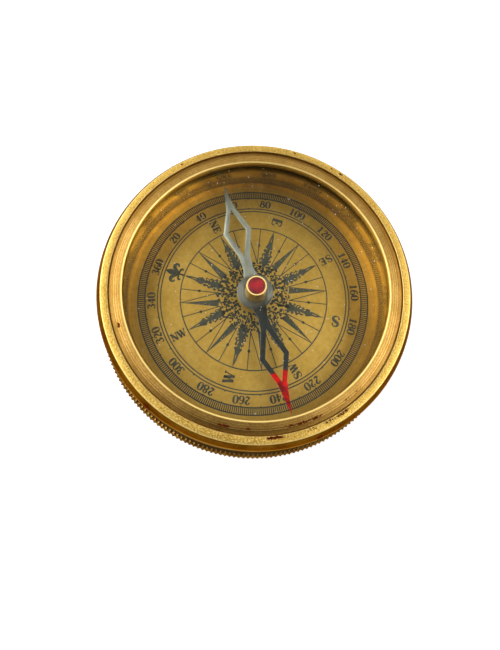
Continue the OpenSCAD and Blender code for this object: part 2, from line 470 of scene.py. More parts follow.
@group("GeometryNodeTree", ("Geometry",),
       Geometry=None, Count=12, Radius=0.01, Height=0.0, Material=None)
def around_axis(tree, given):
    """Copies of the mesh it is given, stood round the axis."""
    circle = node(tree, "GeometryNodeMeshCircle",
                  {"Vertices": given["Count"], "Radius": given["Radius"]})
    lift = node(tree, "ShaderNodeCombineXYZ", {"Z": given["Height"]})
    place = node(tree, "GeometryNodeInputPosition")
    facing = node(tree, "FunctionNodeAlignRotationToVector",
                  {"Vector": place.outputs[0]}, axis="X")
    copies = node(tree, "GeometryNodeInstanceOnPoints", {
        "Points": circle.outputs["Mesh"], "Instance": given["Geometry"],
        "Rotation": facing.outputs[0]})
    raised = node(tree, "GeometryNodeTranslateInstances", {
        "Instances": copies.outputs[0], "Translation": lift.outputs[0],
        "Local Space": False})
    return made_real(tree, raised.outputs[0], given["Material"])


def evaluated(thing):
    """The mesh that an object's curves or modifiers make; the object goes."""
    scene_now = bpy.context.evaluated_depsgraph_get()
    data = bpy.data.meshes.new_from_object(thing.evaluated_get(scene_now),
                                           depsgraph=scene_now)
    bpy.data.objects.remove(thing)
    return data


def grown(name, tree, seed_mesh, **inputs):
    """Runs a geometry tree on a small mesh and keeps the result as a plain mesh."""
    seed = placed(name + "_seed", seed_mesh)
    modifier = seed.modifiers.new("grow", "NODES")
    modifier.node_group = tree
    for item in tree.interface.items_tree:
        if item.in_out == "INPUT" and item.name in inputs:
            modifier[item.identifier] = inputs[item.name]
    return placed(name, evaluated(seed))


KNURLS = 220
KNURL_DEPTH = 0.3 * MM
KNURL_BEND = math.radians(84)
BASE_FLOOR = 0.9 * MM
SPIGOT_R = 33.0 * MM


def knurl_ridge(edge_r, depth, width, steps=8):
    """One ridge, bent over the half-round rim, as a three-cornered bar."""
    bm = bmesh.new()
    inner = arc(edge_r - 0.4 * depth, -KNURL_BEND, KNURL_BEND, steps)
    outer = arc(edge_r + depth, -KNURL_BEND, KNURL_BEND, steps)
    rings = [[bm.verts.new((out - edge_r, side, up))
              for (out, up), side in ((low, -width / 2), (high, 0), (low, width / 2))]
             for low, high in zip(inner, outer)]
    for ring, after in zip(rings, rings[1:]):
        for k in range(3):
            bm.faces.new((ring[k], ring[(k + 1) % 3], after[(k + 1) % 3], after[k]))
    bm.faces.new(rings[0])
    bm.faces.new(reversed(rings[-1]))
    bmesh.ops.recalc_face_normals(bm, faces=bm.faces)
    return mesh_of("knurl_ridge", bm)


def build_base():
    rim_r = base_high.x - KNURL_DEPTH
    edge_r = base_high.z / 2 - KNURL_DEPTH
    centre_r, centre_z = rim_r - edge_r, base_high.z / 2
    half_round = [(centre_r + x, centre_z + y)
                  for x, y in arc(edge_r, -math.pi / 2, math.pi / 2, 12)]
    outline = eased([
        (0, base_low.z), (centre_r - 2 * KNURL_DEPTH, base_low.z),
        (centre_r - KNURL_DEPTH, base_low.z + KNURL_DEPTH / 2)]
        + half_round + [
        (centre_r - KNURL_DEPTH, base_high.z - KNURL_DEPTH / 2),
        (centre_r - 2 * KNURL_DEPTH, base_high.z), (SPIGOT_R, base_high.z, KNURL_DEPTH / 3),
        (SPIGOT_R, BASE_FLOOR), (0, BASE_FLOOR)])
    disc = turned("base_turning", outline, base_brass)
    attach(disc, "housing")
    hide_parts("base_cap")
    ridge = knurl_ridge(edge_r, KNURL_DEPTH, math.tau * rim_r / KNURLS)
    ridges = grown("base_knurls", around_axis, ridge,
                   Count=KNURLS, Radius=rim_r, Height=centre_z, Material=base_brass)
    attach(ridges, "housing")


build_base()


# The case
# One piece of turned brass: a smooth side, a sloping shoulder and a flat rim,
# bored for the well and threaded inside the mouth for the bezel.
case_low, case_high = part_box("case_body")
seal_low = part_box("crystal_seal")[0]
bezel_low, bezel_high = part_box("bezel_ring")
dial_low, dial_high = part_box("dial_plate")
washer_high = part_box("pivot_washer")[1]
SCREW_FIT = 0.03 * MM
RIM_W = 1.5 * MM
SHOULDER_W = 1.55 * MM
SHOULDER_H = 2.6 * MM
SHOULDER_BULGE = 0.18 * MM
SHOULDER_STEPS = 12
SPIGOT_WALL = 2 * MM
EDGE_EASE = 0.12 * MM
FINE_STEPS = 320
RIM_MARKS = ((-112.7, 2.6, 0.2), (-126.5, 3.2, 0.05), (-133, 2.2, 0.08),
             (-138.5, 2.8, 0.13))
OUTER_MARKS = ((41.6, 0.5, 0.15), (88.9, 0.5, 0.15), (105.4, 0.5, 0.1), (109.7, 0.8, 0.2))
SIDE_MARKS = ((-66, 1.6, 0.1), (-128, 1.2, 0.1))


def rim_marks(tree, marks, radius, reach):
    """The darkest of several stains on one ring; a mark is (bearing, spread, cover)."""
    mask = 0.0
    for bearing, spread, cover in marks:
        spot = effect(tree, stain, Bearing=math.radians(bearing), Radius=radius,
                      Reach=reach, Spread=spread * MM, Cover=cover)
        mask = calc(tree, "MAXIMUM", mask, spot["Mask"])
    return mask


@material
def case_brass(tree):
    top = height_share(tree, case_high.z - 0.3 * MM, case_high.z - 0.05 * MM)
    # The side is darker than the rim: brown aged brass, darkened further as painted shade.
    side = clouded(tree, (118, 86, 40), (62, 43, 18), size=5, amount=0.9)
    rim = clouded(tree, (240, 199, 98), (204, 156, 58), size=3.5, amount=0.85)
    specks = grained(tree, 0.34)
    rings = lathed(tree, pitch=0.3, wander=0.5)
    # Dark flecks of the grain, and bright specks that are painted glints.
    flecks = ranged(tree, specks["Height"], 0.38, 0.5, 0.5, 0.0)
    specks_and_painted_glints = ranged(tree, specks["Height"], 0.54, 0.66, last=0.7)
    rim_color = layered(tree, rim["Color"], (flecks, (160, 114, 42)),
                        (specks_and_painted_glints, (255, 234, 160)))
    lines = ranged(tree, rings, 0.48, 0.6, last=0.6)
    shoulder_z = case_high.z - SHOULDER_H
    # A painted highlight in a band where the shoulder meets the side.
    wear_and_painted_highlight = times(tree, height_share(tree, shoulder_z - 0.3 * MM, shoulder_z),
                 height_share(tree, shoulder_z + 0.5 * MM, shoulder_z + 0.2 * MM))
    side_color_with_painted_light = layered(tree, side["Color"], (lines, (70, 44, 16)),
                         (wear_and_painted_highlight, (226, 172, 112), 0.55))
    inner_r = case_high.x - SHOULDER_W - RIM_W
    # Painted highlights: bright lines on the rim's outer edge and round the mouth.
    edges = ring_share(tree, (inner_r + RIM_W, 0.34 * MM), (inner_r, 0.3 * MM))
    marks = calc(tree, "MAXIMUM", rim_marks(tree, RIM_MARKS, inner_r + 0.4 * MM, 0.5 * MM),
                 rim_marks(tree, OUTER_MARKS, inner_r + 1.0 * MM, 0.35 * MM))
    low_marks = rim_marks(tree, SIDE_MARKS, case_high.x - 0.4 * MM, 0.8 * MM)
    low_share = height_share(tree, shoulder_z - 1.2 * MM, shoulder_z - 0.2 * MM)
    marks = calc(tree, "MAXIMUM", times(tree, marks, top), times(tree, low_marks, low_share))
    brass = layered(tree, side_color_with_painted_light, (top, rim_color), (edges, (252, 226, 150), 0.6),
                    (specks["Pits"], (112, 76, 26), 0.6), (marks, (84, 28, 10)))
    rough = calc(tree, "ADD", ranged(tree, specks["Height"], 0.3, 0.7, 0.26, 0.46),
                 times(tree, marks, 0.3), clamp=True)
    relief = bumped(tree, specks["Height"], 0.07, 1.0, bumped(tree, rings, 0.02, 0.35))
    metal(tree, brass, rough, relief, STREAKS, glance=BROWN_GLANCE)


def build_case():
    mouth_r = bezel_high.x + SCREW_FIT
    bore_r = dial_high.x + SCREW_FIT
    spigot_r = SPIGOT_R - SCREW_FIT
    recess_r = spigot_r - SPIGOT_WALL
    hole_r = washer_high.x / 3
    shoulder = []
    for k in range(SHOULDER_STEPS):
        t = k / SHOULDER_STEPS
        shoulder.append((
            case_high.x - SHOULDER_W * t + SHOULDER_BULGE * math.sin(math.pi * t),
            case_high.z - SHOULDER_H * (1 - t)))
    outline = eased([
        (hole_r, washer_high.z), (recess_r, washer_high.z), (recess_r, case_low.z),
        (spigot_r, case_low.z, EDGE_EASE), (spigot_r, base_high.z),
        (case_high.x, base_high.z, EDGE_EASE)] + shoulder + [
        (mouth_r + RIM_W, case_high.z, EDGE_EASE / 2), (mouth_r, case_high.z, EDGE_EASE),
        (mouth_r, seal_low.z), (bore_r, seal_low.z), (bore_r, dial_low.z),
        (hole_r, dial_low.z)])
    piece = turned("case_turning", outline, case_brass, FINE_STEPS)
    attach(piece, "housing")
    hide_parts("case_body")


build_case()


# The pivot
# A brass post with a shoulder stands on the dial; its stud goes through dial
# and floor to a washer and a nut, and a hardened steel point is set in its top.
def dress(name, finish):
    """Gives a CAD node a finish in place of its plain one."""
    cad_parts[name].material_slots[0].material = finish


@material
def fitting_brass(tree):
    skin = clouded(tree, (200, 158, 84), (150, 108, 46), size=2, amount=0.6)
    rings = lathed(tree, pitch=0.12, wander=0.2)
    metal(tree, skin["Color"], 0.3, bumped(tree, rings, 0.01, 0.5), STREAKS)


@material
def pin_steel(tree):
    skin = clouded(tree, (196, 198, 200), (140, 142, 146), size=1.5, amount=0.5)
    rings = lathed(tree, pitch=0.08, wander=0.2)
    metal(tree, skin["Color"], 0.18, bumped(tree, rings, 0.005, 0.4))


for part in ("pivot_washer", "pivot_nut", "pivot_post"):
    dress(part, fitting_brass)
dress("pivot_pin", pin_steel)


# The dial
# A brass plate at the bottom of the well, engraved and filled with dark wax: a
# traditional rose, points of the compass, numerals each 20 degrees, and degrees.
@material
def dial_brass(tree):
    skin = clouded(tree, (208, 169, 80), (166, 131, 49), size=8, amount=0.75)
    specks = grained(tree, 0.3)
    color = mixed(tree, specks["Pits"], skin["Color"], (112, 84, 38), 0.3)
    metal(tree, color, ranged(tree, skin["Mask"], first=0.36, last=0.47),
          bumped(tree, specks["Height"], 0.015, 0.5), metallic=0.95)


@material
def dial_wax(tree):
    skin = clouded(tree, (36, 42, 36), (82, 78, 50), size=0.9, amount=0.7)
    metal(tree, skin["Color"], 0.5, bumped(tree, grained(tree, 0.12)["Height"], 0.01, 0.5),
          metallic=0.0, specular=0.3)


dress("dial_plate", dial_brass)
DIAL_Z = dial_high.z
WAX_T = 0.015 * MM
ISLAND_T = 0.006 * MM
TICK_OUT_R = 28.1 * MM
TICK_IN_R = 26.4 * MM
TICK_W = 0.27 * MM
LINE_W = 0.3 * MM
PAIR_R = (23.42 * MM, 22.69 * MM)
ROSE_R = 17.94 * MM
NUMERAL_R = 24.85 * MM
NUMERAL_H = 1.82 * MM
NUMERAL_PEN = 1.6
DIGIT_STEP = 1.4 * MM
DIGIT_SHIFT = 0.08
LETTER_R = 20.6 * MM
LETTER_H = 2.55 * MM
PAIR_LETTER_H = 1.9 * MM
LETTER_PEN = 1.5


def on_dial(bearing, side, out):
    """The dial's point at a distance out along a bearing and to its clockwise side."""
    b = math.radians(bearing)
    return Vector((out * math.sin(b) + side * math.cos(b),
                   out * math.cos(b) - side * math.sin(b)))


def filled(bm, outline, lift=0.0):
    """A flat patch from one closed outline, on the dial or on the wax."""
    thick = ISLAND_T if lift else WAX_T
    top = [bm.verts.new((p.x, p.y, DIAL_Z + lift + thick)) for p in outline]
    low = [bm.verts.new((p.x, p.y, DIAL_Z + lift)) for p in outline]
    for a, b, c in tessellate_polygon([[Vector((p.x, p.y, 0)) for p in outline]]):
        bm.faces.new((top[a], top[b], top[c]))
        bm.faces.new((low[c], low[b], low[a]))
    for k in range(len(outline)):
        after = (k + 1) % len(outline)
        bm.faces.new((low[k], low[after], top[after], top[k]))


def graved(bm, path, closed=False):
    """A line of wax along a path of (point, width)."""
    edges = []
    count = len(path)
    for k, (here, width) in enumerate(path):
        before = path[(k - 1) % count][0] if closed or k else here
        after = path[(k + 1) % count][0] if closed or k < count - 1 else here
        along = (after - before).normalized()
        reach = Vector((-along.y, along.x)) * width / 2
        edges.append([bm.verts.new((p.x, p.y, z))
                      for p in (here - reach, here + reach)
                      for z in (DIAL_Z, DIAL_Z + WAX_T)])
    for k in range(count if closed else count - 1):
        a, b = edges[k], edges[(k + 1) % count]
        for i, j in ((0, 1), (1, 3), (3, 2), (2, 0)):
            bm.faces.new((a[i], a[j], b[j], b[i]))
    if not closed:
        bm.faces.new([edges[0][i] for i in (0, 2, 3, 1)])
        bm.faces.new([edges[-1][i] for i in (0, 1, 3, 2)])


def flowing(points, closed=False, steps=5):
    """A smooth path through points of (x, y, width)."""
    knots = [Vector(p) for p in points]
    count = len(knots)
    path = []
    for k in range(count if closed else count - 1):
        if closed:
            p0, p1, p2, p3 = (knots[(k + d) % count] for d in (-1, 0, 1, 2))
        else:
            p0, p1 = knots[max(k - 1, 0)], knots[k]
            p2, p3 = knots[k + 1], knots[min(k + 2, count - 1)]
        for s in range(steps):
            t = s / steps
            path.append(0.5 * (2 * p1 + (p2 - p0) * t + (2 * p0 - 5 * p1 + 4 * p2 - p3) * t * t
                               + (3 * p1 - p0 - 3 * p2 + p3) * t ** 3))
    if not closed:
        path.append(knots[-1])
    return path


def dial_piece(name, bm, finish=dial_wax):
    piece = finish_mesh(name, bm, finish)
    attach(piece, "housing")


def build_circles():
    bm = bmesh.new()
    for radius in (TICK_OUT_R, TICK_IN_R, *PAIR_R, ROSE_R):
        graved(bm, [(on_dial(2 * k, 0, radius), LINE_W) for k in range(180)], closed=True)
    dial_piece("dial_circles", bm)


def bar_mesh(length, width, height):
    """A little bar that points along X from the origin."""
    bm = bmesh.new()
    bmesh.ops.create_cube(bm, size=1.0)
    bmesh.ops.transform(bm, verts=bm.verts, matrix=Matrix.Translation((length / 2, 0, height / 2))
                        @ Matrix.Diagonal((length, width, height, 1)))
    return mesh_of("bar", bm)


def build_degrees():
    rows = (("dial_degrees", 360, TICK_IN_R, TICK_OUT_R - TICK_IN_R, TICK_W),
            ("dial_ten_marks", 36, TICK_IN_R - 0.32 * MM, 0.3 * MM, 0.3 * MM),
            ("dial_twenty_marks", 18, PAIR_R[0], 0.36 * MM, 0.26 * MM))
    for name, count, radius, length, width in rows:
        marks = grown(name, around_axis, bar_mesh(length, width, WAX_T),
                      Count=count, Radius=radius, Height=DIAL_Z, Material=dial_wax)
        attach(marks, "housing")


# Each stroke is a path of (across, up, pen width) on a body one unit high. A
# stroke that starts with "o" closes on itself, and "l" is drawn with straight lines.
FIGURES = {
    "0": ["o", [(.34, 1, .07), (.12, .82, .15), (.08, .5, .19), (.12, .18, .15), (.34, 0, .07),
                (.56, .18, .15), (.60, .5, .19), (.56, .82, .15)]],
    "1": ["l", [(.34, .98, .18), (.34, .02, .18)], "l", [(.34, .96, .06), (.12, .80, .08)],
          "l", [(.10, .03, .08), (.58, .03, .08)]],
    "2": ["s", [(.14, .72, .17), (.18, .92, .08), (.36, .98, .08), (.55, .82, .17),
                (.48, .58, .16), (.26, .32, .09), (.08, .10, .08)],
          "s", [(.07, .07, .10), (.28, .10, .15), (.48, .03, .12), (.62, .20, .06)]],
    "3": ["s", [(.12, .82, .15), (.22, .97, .07), (.42, .95, .11), (.52, .77, .17),
                (.42, .58, .09), (.26, .53, .05)],
          "s", [(.26, .53, .05), (.46, .48, .11), (.58, .27, .18), (.44, .05, .10),
                (.24, .01, .07), (.09, .17, .16)]],
    "4": ["l", [(.44, .98, .16), (.44, .02, .16)], "l", [(.42, .98, .06), (.04, .32, .06)],
          "l", [(.02, .30, .08), (.66, .30, .08)], "l", [(.26, .03, .07), (.62, .03, .07)]],
    "6": ["o", [(.36, .58, .06), (.16, .46, .12), (.10, .29, .17), (.16, .09, .12), (.36, 0, .06),
                (.55, .1, .12), (.60, .29, .17), (.53, .5, .11)],
          "s", [(.56, .84, .14), (.46, .97, .08), (.30, .95, .10), (.14, .74, .15),
                (.10, .48, .17), (.10, .29, .15)]],
    "8": ["o", [(.34, 1, .06), (.16, .88, .14), (.17, .68, .14), (.34, .55, .09),
                (.51, .68, .14), (.52, .88, .14)],
          "o", [(.34, .55, .09), (.12, .42, .15), (.09, .16, .16), (.34, 0, .06),
                (.59, .16, .16), (.56, .42, .15)]],
    "N": ["l", [(.14, 0, .08), (.14, 1, .08)], "l", [(.12, .97, .20), (.74, .03, .20)],
          "l", [(.74, 0, .08), (.74, 1, .08)], "l", [(0, .04, .08), (.30, .04, .08)],
          "l", [(-.02, .96, .08), (.18, .96, .08)], "l", [(.58, .96, .08), (.90, .96, .08)]],
    "E": ["l", [(.22, 0, .20), (.22, 1, .20)], "l", [(.06, .96, .08), (.72, .96, .08)],
          "l", [(.22, .5, .08), (.54, .5, .08)], "l", [(.06, .04, .08), (.74, .04, .08)],
          "l", [(.72, .99, .07), (.74, .72, .10)], "l", [(.55, .64, .10), (.55, .36, .10)],
          "l", [(.74, .01, .07), (.78, .30, .10)]],
    "S": ["s", [(.66, .72, .11), (.60, .93, .08), (.38, 1, .08), (.14, .84, .15),
                (.20, .61, .19), (.44, .50, .20), (.66, .34, .19), (.66, .13, .14),
                (.40, 0, .08), (.18, .06, .08), (.10, .28, .11)]],
    "W": ["l", [(.06, .98, .18), (.32, .02, .18)], "l", [(.32, .02, .07), (.52, .90, .07)],
          "l", [(.46, .98, .18), (.72, .02, .18)], "l", [(.72, .02, .07), (.94, .98, .07)],
          "l", [(-.08, .96, .08), (.22, .96, .08)], "l", [(.34, .96, .08), (.60, .96, .08)],
          "l", [(.80, .96, .08), (1.06, .96, .08)]],
}


def draw_figure(bm, letter, size, pen, place):
    """One letter or digit; place turns its own (across, up) into a dial point."""
    strokes = FIGURES[letter]
    for style, points in zip(strokes[::2], strokes[1::2]):
        closed = style == "o"
        path = ([Vector(p) for p in points] if style == "l" else flowing(points, closed))
        graved(bm, [(place(p.x * size, p.y * size), p.z * size * pen) for p in path],
               closed)


def build_numerals():
    bm = bmesh.new()
    for bearing in range(20, 361, 20):
        text = str(bearing)
        for k, digit in enumerate(text):
            shift = (k - len(text) / 2 + DIGIT_SHIFT) * DIGIT_STEP
            draw_figure(bm, digit, NUMERAL_H, NUMERAL_PEN, lambda x, y: on_dial(
                bearing, x + shift, y + NUMERAL_R - NUMERAL_H / 2))
    dial_piece("dial_numerals", bm)


def build_letters():
    bm = bmesh.new()
    for k, text in enumerate(("NE", "E", "SE", "S", "SW", "W", "NW")):
        size = LETTER_H if len(text) == 1 else PAIR_LETTER_H
        start = LETTER_R + size * 0.44 * len(text)
        for i, letter in enumerate(text):
            draw_figure(bm, letter, size, LETTER_PEN, lambda x, y: on_dial(
                45 + 45 * k, y - size / 2, start - x - i * size * 0.92))
    dial_piece("dial_letters", bm)


LILY_H = 4.74 * MM
LILY_PEN = 1.2


def build_lily():
    """The lily that stands for north, drawn in twentieths of its height."""
    bm = bmesh.new()
    unit = LILY_H / 20

    def at(side, up):
        return on_dial(0, side * unit, ROSE_R + up * unit)

    petal = flowing([(0, 20, 0), (-1.9, 17, 0), (-3, 14.2, 0), (-2.4, 11.6, 0), (-1.5, 9.2, 0),
                     (-1.1, 6.4, 0), (1.1, 6.4, 0), (1.5, 9.2, 0), (2.4, 11.6, 0),
                     (3, 14.2, 0), (1.9, 17, 0)], closed=True)
    filled(bm, [at(p.x, p.y) for p in petal])
    for hand in (-1, 1):
        for curl in ([(.8, 6, 1.6), (2.6, 8.8, 2.6), (4.8, 11.6, 3.2), (7.3, 12.4, 3),
                      (9.2, 11.2, 2.4), (9.5, 9.3, 1.8), (8.4, 8.1, 1.5), (7.2, 8.6, 1.3)],
                     [(.7, 5.6, 1.3), (2.8, 5.5, 1.7), (4.8, 5, 2), (5.9, 3.9, 1.6),
                      (5.2, 2.9, 1.3), (4.4, 3.2, 1)]):
            graved(bm, [(at(hand * p.x, p.y), p.z * LILY_PEN * unit) for p in flowing(curl)])
    graved(bm, [(at(-2.4, 5.9), 1.1 * unit), (at(2.4, 5.9), 1.1 * unit)])
    graved(bm, [(at(0, 6.4), 2.4 * unit), (at(0, 3.2), 1.5 * unit), (at(0, 1.7), 2.3 * unit),
                (at(0, 0), 0.8 * unit)])
    dial_piece("dial_lily", bm)


def leaf(bm, place, x, y, length, width, lean, lift=0.0):
    """A pointed leaf from its stalk at (x, y), leaning lean degrees to the side."""
    a = math.radians(lean)
    shape = flowing([(0, 0, 0), (-.5, .3, 0), (-.42, .62, 0), (0, 1, 0), (.42, .62, 0),
                     (.5, .3, 0)], closed=True, steps=3)
    filled(bm, [place(x + p.x * width * math.cos(a) + p.y * length * math.sin(a),
                      y + p.y * length * math.cos(a) - p.x * width * math.sin(a))
                for p in shape], lift)


def oval(bm, place, x, y, half_w, half_h, steps=12):
    filled(bm, [place(x + half_w * across, y + half_h * up)
                for across, up in arc(1.0, steps=steps)[:-1]])


def scroll(bm, place, x, y, radius, start, turns, pen):
    """A tendril that winds in round (x, y) and ends in a bud."""
    path = []
    count = max(8, int(14 * abs(turns)))
    for k in range(count + 1):
        t = k / count
        a = math.radians(start) + math.tau * turns * t
        r = radius * (1 - 0.72 * t)
        path.append((place(x + r * math.cos(a), y + r * math.sin(a)),
                     pen * (1 - 0.35 * t)))
    graved(bm, path)
    oval(bm, place, x, y, 0.3 * radius, 0.3 * radius, steps=8)


# The sizes of the rose that have no MM are counted in millimetres.
RAY_BASE_R = 8.5 * MM
HALF_RAY_W = 1.72 * MM
FINE_W = 0.23 * MM
BALL_R = 0.5 * MM
BALL_OUT = 8.48 * MM
SLIT_OUT = 14.7 * MM
BEAD_OUT = 13.45 * MM
RAY_SIDE = ((17, .19), (16.1, .36), (14.7, .5), (14.0, .72), (13.4, .98), (12.9, .7),
            (12.4, 1.16), (11.8, .86), (11.2, 1.4), (10.5, 1.02), (9.9, 1.54),
            (9.2, 1.16), (8.6, 1.5))
TIERS, TIER_OUT, TIER_STEP = 5, 12.6, .86
HALF_RAY_TIP, HALF_RAY_L = 17.9, 9.4
HUB_ROWS, HUB_OUT, HUB_STEP = 6, 4.2, .74
HUB_SECTOR = math.radians(22)
fortune = random.Random(6)


def flowered_ray(bm, islands, at):
    """One of the eight main points: a dark spear with leaves, picked out in bare brass."""
    def half(hand):
        return [at(hand * (side + fortune.uniform(-.09, .09)) * MM,
                   (out + fortune.uniform(-.12, .12)) * MM) for out, side in RAY_SIDE]

    filled(bm, [at(0, ROSE_R)] + half(1) + half(-1)[::-1])
    oval(bm, at, 0, BALL_OUT, BALL_R, BALL_R)
    leaf(islands, at, 0, SLIT_OUT, 1.3 * MM, .16 * MM, 0, WAX_T)
    for hand in (-1, 1):
        for tier in range(TIERS):
            out = TIER_OUT - TIER_STEP * tier + fortune.uniform(-.25, .25)
            reach = (.3 + .13 * tier) * fortune.uniform(.8, 1.25)
            leaf(islands, at, hand * reach * MM, out * MM, fortune.uniform(.5, .95) * MM,
                 fortune.uniform(.16, .34) * MM, hand * fortune.uniform(5, 50), WAX_T)


def half_ray(bm, islands, at):
    """One of the eight lesser points: dark on one side, only outlined on the other."""
    filled(bm, [at(0, ROSE_R), at(-HALF_RAY_W, RAY_BASE_R + .4 * MM), at(0, RAY_BASE_R)])
    graved(bm, [(at(0, ROSE_R), FINE_W), (at(HALF_RAY_W, RAY_BASE_R), FINE_W)])
    for k in range(5):
        out = 9.2 + fortune.uniform(0, 4.5)
        room = HALF_RAY_W / MM * (HALF_RAY_TIP - out) / HALF_RAY_L
        leaf(islands, at, -room * fortune.uniform(.25, .9) * MM, out * MM,
             fortune.uniform(.15, .5) * MM, fortune.uniform(.06, .16) * MM,
             fortune.uniform(-40, 25), WAX_T)


def rhumb_line(bm, at):
    """A thin line with a bead on it, between two points of the rose."""
    graved(bm, [(at(0, RAY_BASE_R), FINE_W), (at(0, ROSE_R), FINE_W)])
    oval(bm, at, 0, BEAD_OUT, .34 * MM, .42 * MM)


def hub_flowers(bm, at):
    """Leaves and tendrils in close rows round the hub, for one main point."""
    for row in range(HUB_ROWS):
        out = HUB_OUT + HUB_STEP * row
        room = out * math.tan(HUB_SECTOR)
        count = 1 + int(room / (.62 + .05 * row))
        for k in range(count):
            for hand in (-1, 1):
                side = room * (k + .5) / count + fortune.uniform(-.2, .2)
                leaf(bm, at, hand * side * MM, (out + fortune.uniform(-.2, .2)) * MM,
                     fortune.uniform(.55, 1.25) * MM, fortune.uniform(.34, .7) * MM,
                     hand * fortune.uniform(-80, 80))
    for hand in (-1, 1):
        scroll(bm, at, hand * 1.5 * MM, 7.3 * MM, .85 * MM, 90 - hand * 100, hand * 1.1,
               .22 * MM)
        scroll(bm, at, hand * 2.6 * MM, 6.2 * MM, .6 * MM, hand * 40, hand * -.9, .2 * MM)
    graved(bm, [(at(0, 8 * MM), .4 * MM), (at(0, 4.4 * MM), .22 * MM)])


def build_rose():
    bm = bmesh.new()
    islands = bmesh.new()
    for bearing in range(0, 360, 45):
        at = partial(on_dial, bearing)
        flowered_ray(bm, islands, at)
        half_ray(bm, islands, partial(on_dial, bearing + 22.5))
        hub_flowers(bm, at)
    for line in range(16):
        rhumb_line(bm, partial(on_dial, line * 22.5 + 11.25))
    dial_piece("dial_rose", bm)
    dial_piece("dial_rose_bare", islands, dial_brass)


build_circles()
build_degrees()
build_numerals()
build_letters()
build_lily()
build_rose()


# The well
# A polished brass ring between dial and crystal. Its bright wall mirrors the
# border of the dial, and it clamps the dial's edge when the bezel is screwed down.
well_low, well_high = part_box("well_ring")
WELL_WALL = 1.25 * MM


@material
def well_brass(tree):
    skin = clouded(tree, (226, 196, 126), (180, 152, 90), size=4, amount=0.8)
    rings = lathed(tree, pitch=0.25, wander=0.4)
    # Painted shade: the top of the wall is dark under the lip, more so towards the far side.
    painted_shade_height = height_share(tree, well_high.z - 2.3 * MM, well_high.z - 0.8 * MM)
    painted_shade_far_side = ranged(tree, split(tree, own_place(tree))["X"], 0.0, 24 * MM, 0.1, 0.92)
    color = mixed(tree, times(tree, painted_shade_height, painted_shade_far_side), skin["Color"], (34, 24, 10))
    metal(tree, color, 0.18, bumped(tree, rings, 0.01, 0.15))


def build_well():
    out_r = well_high.x
    in_r = out_r - WELL_WALL
    piece = turned("well_turning", eased([
        (in_r, well_low.z), (out_r, well_low.z), (out_r, well_high.z),
        (in_r, well_high.z, EDGE_EASE)]), well_brass, FINE_STEPS)
    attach(piece, "housing")
    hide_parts("well_ring")


build_well()


# The crystal and its seal
# A flat disc of clear glass in a black seal, held down by the bezel. Dust and
# small chips have settled on it, more on the far side.
@material
def seal_rubber(tree):
    skin = clouded(tree, (16, 15, 14), (34, 30, 26), size=1, amount=0.8)
    surface(tree, {"Base Color": skin["Color"], "Roughness": 0.7, "Normal": bumped(
        tree, grained(tree, 0.15)["Height"], 0.02, 0.6)})


@material
def crystal_glass(tree):
    haze = ranged(tree, grained(tree, 1.2)["Height"], 0.5, 0.9, last=0.03)
    glass = node(tree, "ShaderNodeBsdfPrincipled", {
        "Base Color": (0.985, 0.995, 0.985, 1), "Roughness": haze, "IOR": 1.45,
        "Transmission Weight": 1.0})
    lamp_path = node(tree, "ShaderNodeLightPath").outputs["Is Shadow Ray"]
    clear = node(tree, "ShaderNodeBsdfTransparent", {"Color": (0.95, 0.96, 0.95, 1)})
    both = node(tree, "ShaderNodeMixShader",
                {0: lamp_path, 1: glass.outputs[0], 2: clear.outputs[0]})
    node(tree, "ShaderNodeOutputMaterial", {"Surface": both.outputs[0]})


@material
def dust_white(tree):
    skin = clouded(tree, (240, 236, 222), (190, 180, 156), size=1, amount=0.8)
    surface(tree, {"Base Color": skin["Color"], "Roughness": 0.9})


@group("GeometryNodeTree", ("Geometry",), Geometry=None, Density=1e4, Clear=-0.03,
       Dusty=0.03, Smallest=0.0001, Largest=0.0002, Seed=7, Material=None)
def strewn_specks(tree, given):
    """Specks strewn over a mesh, thicker from the X of Clear to the X of Dusty."""
    place = node(tree, "GeometryNodeInputPosition").outputs[0]
    share = ranged(tree, split(tree, place)["X"], given["Clear"], given["Dusty"], 0.12)
    points = node(tree, "GeometryNodeDistributePointsOnFaces", {
        "Mesh": given["Geometry"], "Density": times(tree, share, given["Density"]),
        "Seed": given["Seed"]})
    speck = node(tree, "GeometryNodeMeshIcoSphere", {"Radius": 0.5, "Subdivisions": 1})
    size = node(tree, "FunctionNodeRandomValue", {
        2: given["Smallest"], 3: given["Largest"], "Seed": given["Seed"]},
        data_type="FLOAT").outputs[1]
    scale = node(tree, "ShaderNodeCombineXYZ", {
        "X": times(tree, size, 1.35), "Y": size, "Z": times(tree, size, 0.45)})
    spin = node(tree, "FunctionNodeRandomValue", {
        2: 0.0, 3: math.tau, "Seed": calc(tree, "ADD", given["Seed"], 1.0)},
        data_type="FLOAT")
    turn = node(tree, "ShaderNodeCombineXYZ", {"Z": spin.outputs[1]})
    copies = node(tree, "GeometryNodeInstanceOnPoints", {
        "Points": points.outputs["Points"], "Instance": speck.outputs["Mesh"],
        "Rotation": turn.outputs[0], "Scale": scale.outputs[0]})
    return made_real(tree, copies.outputs[0], given["Material"])


LIP_R = 29.1 * MM
DUST_GAP = 0.3 * MM


def build_dust():
    crystal_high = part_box("crystal")[1]
    bm = bmesh.new()
    bmesh.ops.create_circle(bm, cap_ends=True, radius=LIP_R - DUST_GAP, segments=48)
    bmesh.ops.translate(bm, verts=bm.verts, vec=(0, 0, crystal_high.z))
    dust = grown("crystal_dust", strewn_specks, mesh_of("dust_field", bm),
                 Density=1.1e5, Clear=-26 * MM, Dusty=29 * MM, Smallest=0.08 * MM,
                 Largest=0.23 * MM, Seed=11, Material=dust_white)
    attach(dust, "housing")


dress("crystal_seal", seal_rubber)
dress("crystal", crystal_glass)
build_dust()
